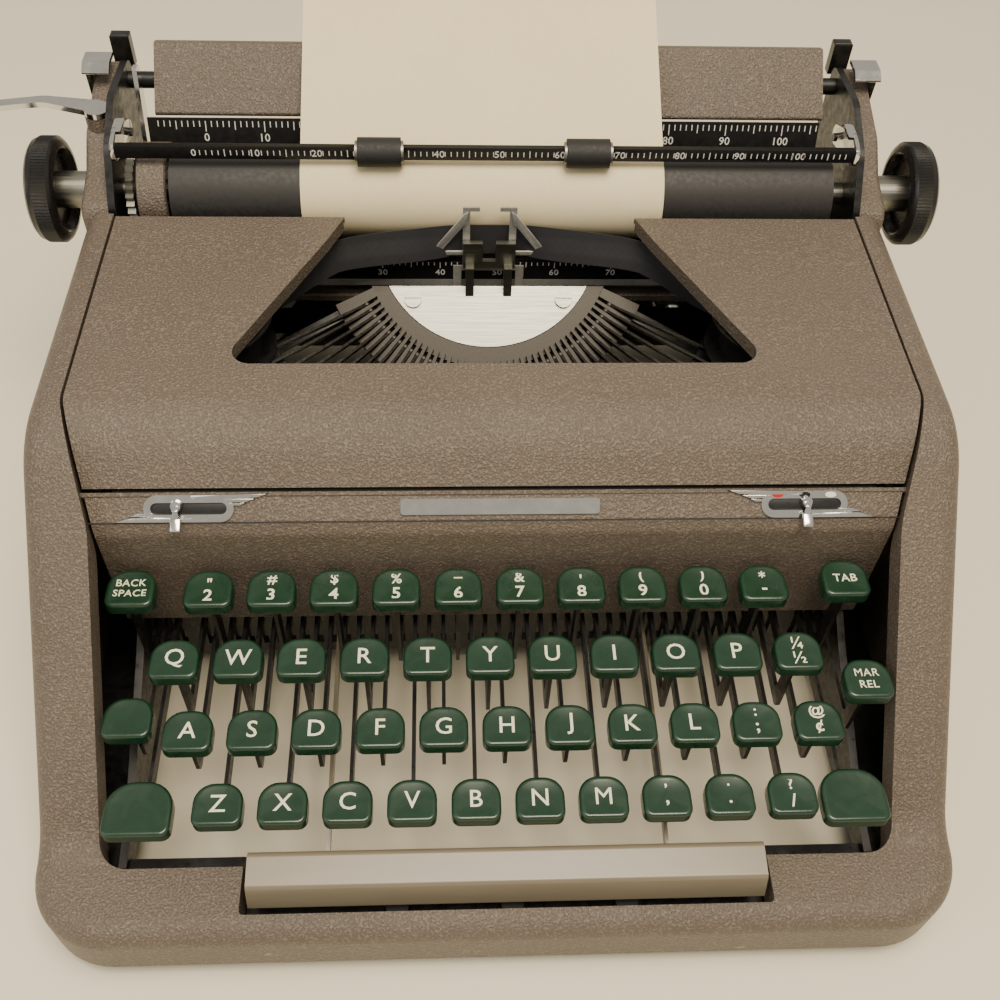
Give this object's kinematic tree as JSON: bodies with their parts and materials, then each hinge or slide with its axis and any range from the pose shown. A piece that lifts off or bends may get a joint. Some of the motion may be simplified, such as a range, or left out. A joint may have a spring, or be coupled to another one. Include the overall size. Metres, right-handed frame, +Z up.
{
  "type": "portable typewriter",
  "caption": "Portable typewriter with a hinged ribbon cover, sprung keys, sinking type basket, sliding carriage with turning platen, lifting paper bail and an inserted sheet.",
  "frame": {"origin": "middle of the underside, where the feet meet the table", "axes": "+X to the operator's right along the platen, +Y away from the operator, +Z up"},
  "size_m": [0.3648, 0.3144, 0.1675],
  "materials": {
    "crinkle_paint": "fine crinkle enamel, satin",
    "key_green": "polished",
    "bar_olive": "smooth satin",
    "black_steel": "blackened, semi-gloss",
    "bright_steel": "brushed",
    "grey_steel": "oiled, worn",
    "chrome_plate": "polished",
    "platen_rubber": "matte",
    "rubber_black": "matte",
    "knob_black": "moulded, semi-gloss",
    "ribbon_black": "inked cloth",
    "paper_cream": "uncoated paper",
    "brass": "worn"
  },
  "bodies": {
    "base": {"body_shell": "crinkle_paint", "front_panel": "crinkle_paint", "slot_plates": "chrome_plate", "trim_bar": "chrome_plate", "inner_frame": "black_steel", "feet": "rubber_black", "foot_screws": "bright_steel", "space_stops": "rubber_black", "lever_comb": "black_steel", "fulcrum_rod": "bright_steel", "carriage_rails": "bright_steel", "ribbon": "ribbon_black", "bell": "chrome_plate"},
    "cover": {"ribbon_cover": "crinkle_paint"},
    "touch_lever": {"touch_lever": "chrome_plate"},
    "selector_lever": {"selector_lever": "chrome_plate"},
    "mainspring": {"mainspring_drum": "grey_steel"},
    "escapement": {"escapement_wheel": "brass"},
    "basket": {"typebars": "grey_steel", "segment": "grey_steel", "segment_plate": "bright_steel", "segment_screws": "bright_steel", "type_rest": "black_steel", "type_guide": "bright_steel"},
    "typebar_h": {"typebar_h": "grey_steel"},
    "vibrator": {"ribbon_vibrator": "bright_steel"},
    "spool_left": {"spool_left": "black_steel"},
    "spool_right": {"spool_right": "black_steel"},
    "key_h": {"key_h": "key_green"},
    "space_bar": {"space_bar": "bar_olive"},
    "carriage": {"carriage_frame": "black_steel", "end_cover_left": "crinkle_paint", "end_cover_right": "crinkle_paint", "feed_rollers": "rubber_black", "carriage_scale": "black_steel", "paper_table": "crinkle_paint", "paper_scale": "black_steel", "paper": "paper_cream"},
    "platen": {"platen": "platen_rubber", "platen_shaft": "bright_steel", "knob_left": "knob_black", "knob_right": "knob_black"},
    "bail": {"paper_bail": "black_steel", "bail_rollers": "rubber_black"},
    "return_lever": {"return_lever": "chrome_plate"},
    "release_left": {"carriage_release_left": "chrome_plate"},
    "release_right": {"carriage_release_right": "chrome_plate"},
    "paper_release": {"paper_release_lever": "chrome_plate"},
    "margin_left": {"margin_key_left": "knob_black"},
    "margin_right": {"margin_key_right": "knob_black"},
    "number_row_keys": {"number_row_keys": "key_green"},
    "upper_row_keys": {"upper_row_keys": "key_green"},
    "home_row_keys": {"home_row_keys": "key_green"},
    "lower_row_keys": {"lower_row_keys": "key_green"},
    "shift_left_key": {"shift_left_key": "key_green"},
    "shift_right_key": {"shift_right_key": "key_green"},
    "shift_lock_key": {"shift_lock_key": "key_green"},
    "backspace_key": {"backspace_key": "key_green"},
    "tab_key": {"tab_key": "key_green"},
    "margin_release_key": {"margin_release_key": "key_green"}
  },
  "joints": [
    {"name": "number_row_press", "type": "hinge", "parent": "base", "child": "number_row_keys", "pos_m": [0.02001, 0.05031, 0.036], "axis": [1, 0, 0], "range_deg": [0, 5.88], "stiffness_Nm_per_rad": 0.25, "springref_deg": -34.38},
    {"name": "upper_row_press", "type": "hinge", "parent": "base", "child": "upper_row_keys", "pos_m": [0.02001, 0.05031, 0.036], "axis": [1, 0, 0], "range_deg": [0, 5.06], "stiffness_Nm_per_rad": 0.25, "springref_deg": -34.38},
    {"name": "home_row_press", "type": "hinge", "parent": "base", "child": "home_row_keys", "pos_m": [0.02001, 0.05031, 0.036], "axis": [1, 0, 0], "range_deg": [0, 4.44], "stiffness_Nm_per_rad": 0.25, "springref_deg": -34.38},
    {"name": "lower_row_press", "type": "hinge", "parent": "base", "child": "lower_row_keys", "pos_m": [0.02001, 0.05031, 0.036], "axis": [1, 0, 0], "range_deg": [0, 3.95], "stiffness_Nm_per_rad": 0.25, "springref_deg": -34.38},
    {"name": "key_h_press", "type": "hinge", "parent": "base", "child": "key_h", "pos_m": [0.02001, 0.05031, 0.036], "axis": [1, 0, 0], "range_deg": [0, 4.44], "stiffness_Nm_per_rad": 0.08, "springref_deg": -34.38},
    {"name": "space_bar_press", "type": "hinge", "parent": "base", "child": "space_bar", "pos_m": [0.02001, 0.05031, 0.036], "axis": [1, 0, 0], "range_deg": [0, 1.45], "stiffness_Nm_per_rad": 0.3, "springref_deg": -40.11},
    {"name": "shift_left_press", "type": "hinge", "parent": "base", "child": "shift_left_key", "pos_m": [0.02001, 0.05031, 0.036], "axis": [1, 0, 0], "range_deg": [0, 3.28], "stiffness_Nm_per_rad": 1.2, "springref_deg": -45.84},
    {"name": "shift_right_press", "type": "hinge", "parent": "base", "child": "shift_right_key", "pos_m": [0.02001, 0.05031, 0.036], "axis": [1, 0, 0], "range_deg": [0, 3.28], "stiffness_Nm_per_rad": 0.06, "springref_deg": -34.38},
    {"name": "shift_lock_press", "type": "hinge", "parent": "base", "child": "shift_lock_key", "pos_m": [0.02001, 0.05031, 0.036], "axis": [1, 0, 0], "range_deg": [0, 3.44], "stiffness_Nm_per_rad": 0.06, "springref_deg": -34.38},
    {"name": "backspace_press", "type": "hinge", "parent": "base", "child": "backspace_key", "pos_m": [0.02001, 0.05031, 0.036], "axis": [1, 0, 0], "range_deg": [0, 4.92], "stiffness_Nm_per_rad": 0.06, "springref_deg": -34.38},
    {"name": "tab_press", "type": "hinge", "parent": "base", "child": "tab_key", "pos_m": [0.02001, 0.05031, 0.036], "axis": [1, 0, 0], "range_deg": [0, 4.92], "stiffness_Nm_per_rad": 0.06, "springref_deg": -34.38},
    {"name": "margin_release_press", "type": "hinge", "parent": "base", "child": "margin_release_key", "pos_m": [0.02001, 0.05031, 0.036], "axis": [1, 0, 0], "range_deg": [0, 3.16], "stiffness_Nm_per_rad": 0.06, "springref_deg": -34.38},
    {"name": "basket_shift", "type": "slide", "parent": "base", "child": "basket", "axis": [0, 0, -1], "range_m": [0, 0.0066]},
    {"name": "typebar_h_swing", "type": "hinge", "parent": "basket", "child": "typebar_h", "pos_m": [0.02134, 0.03422, 0.06714], "axis": [-0.9997, -0.0204, -0.0154], "range_deg": [0, 137.95]},
    {"name": "vibrator_lift", "type": "slide", "parent": "base", "child": "vibrator", "axis": [0, 0, 1], "range_m": [0, 0.0061]},
    {"name": "ribbon_cover_hinge", "type": "hinge", "parent": "base", "child": "cover", "pos_m": [0.02001, -0.04369, 0.1], "axis": [1, 0, 0], "range_deg": [0, 12]},
    {"name": "spool_left_spin", "type": "hinge", "parent": "base", "child": "spool_left", "pos_m": [-0.07399, 0.01731, 0.1], "axis": [0, 0, 1], "continuous": true},
    {"name": "spool_right_spin", "type": "hinge", "parent": "base", "child": "spool_right", "pos_m": [0.11401, 0.01731, 0.1], "axis": [0, 0, 1], "continuous": true},
    {"name": "touch_control_slide", "type": "slide", "parent": "base", "child": "touch_lever", "axis": [1, 0, 0], "range_m": [-0.002, 0.014]},
    {"name": "ribbon_selector_slide", "type": "slide", "parent": "base", "child": "selector_lever", "axis": [1, 0, 0], "range_m": [-0.012, 0.006]},
    {"name": "carriage_travel", "type": "slide", "parent": "base", "child": "carriage", "axis": [1, 0, 0], "range_m": [-0.095, 0.095]},
    {"name": "mainspring_turn", "type": "hinge", "parent": "base", "child": "mainspring", "pos_m": [-0.07199, 0.09131, 0.05], "axis": [0, 0, 1], "range_deg": [-303, 303]},
    {"name": "escapement_turn", "type": "hinge", "parent": "base", "child": "escapement", "pos_m": [0.02001, 0.09131, 0.05], "axis": [0, 0, 1], "range_deg": [-674, 674]},
    {"name": "platen_turn", "type": "hinge", "parent": "carriage", "child": "platen", "pos_m": [0.02001, 0.08431, 0.112], "axis": [1, 0, 0], "continuous": true},
    {"name": "paper_bail_lift", "type": "hinge", "parent": "carriage", "child": "bail", "pos_m": [0.02001, 0.09931, 0.126], "axis": [-1, 0, 0], "range_deg": [0, 60]},
    {"name": "return_lever_swing", "type": "hinge", "parent": "carriage", "child": "return_lever", "pos_m": [-0.11829, 0.09731, 0.148], "axis": [0, 0, 1], "range_deg": [0, 18], "stiffness_Nm_per_rad": 0.05, "springref_deg": -34.38},
    {"name": "carriage_release_left_pull", "type": "hinge", "parent": "carriage", "child": "release_left", "pos_m": [-0.12899, 0.12131, 0.128], "axis": [1, 0, 0], "range_deg": [0, 10], "stiffness_Nm_per_rad": 0.02, "springref_deg": -34.38},
    {"name": "margin_key_left_push", "type": "slide", "parent": "carriage", "child": "margin_left", "axis": [0, 0, -1], "range_m": [0, 0.004], "stiffness_N_per_m": 60, "springref_m": -0.004},
    {"name": "carriage_release_right_pull", "type": "hinge", "parent": "carriage", "child": "release_right", "pos_m": [0.16901, 0.12131, 0.128], "axis": [1, 0, 0], "range_deg": [0, 10], "stiffness_Nm_per_rad": 0.02, "springref_deg": -34.38},
    {"name": "margin_key_right_push", "type": "slide", "parent": "carriage", "child": "margin_right", "axis": [0, 0, -1], "range_m": [0, 0.004], "stiffness_N_per_m": 60, "springref_m": -0.004},
    {"name": "paper_release_pull", "type": "hinge", "parent": "carriage", "child": "paper_release", "pos_m": [-0.10499, 0.10531, 0.112], "axis": [1, 0, 0], "range_deg": [0, 16]}
  ],
  "couplings": [
    {"joint": "shift_right_press", "follows": "shift_left_press", "ratio": 1},
    {"joint": "basket_shift", "follows": "shift_left_press", "m_per_rad": 0.11354},
    {"joint": "typebar_h_swing", "follows": "key_h_press", "ratio": 31.058},
    {"joint": "vibrator_lift", "follows": "key_h_press", "m_per_rad": 0.07743},
    {"joint": "spool_right_spin", "follows": "spool_left_spin", "ratio": 1},
    {"joint": "mainspring_turn", "follows": "carriage_travel", "rad_per_m": 55},
    {"joint": "escapement_turn", "follows": "carriage_travel", "rad_per_m": 123.7}
  ]
}
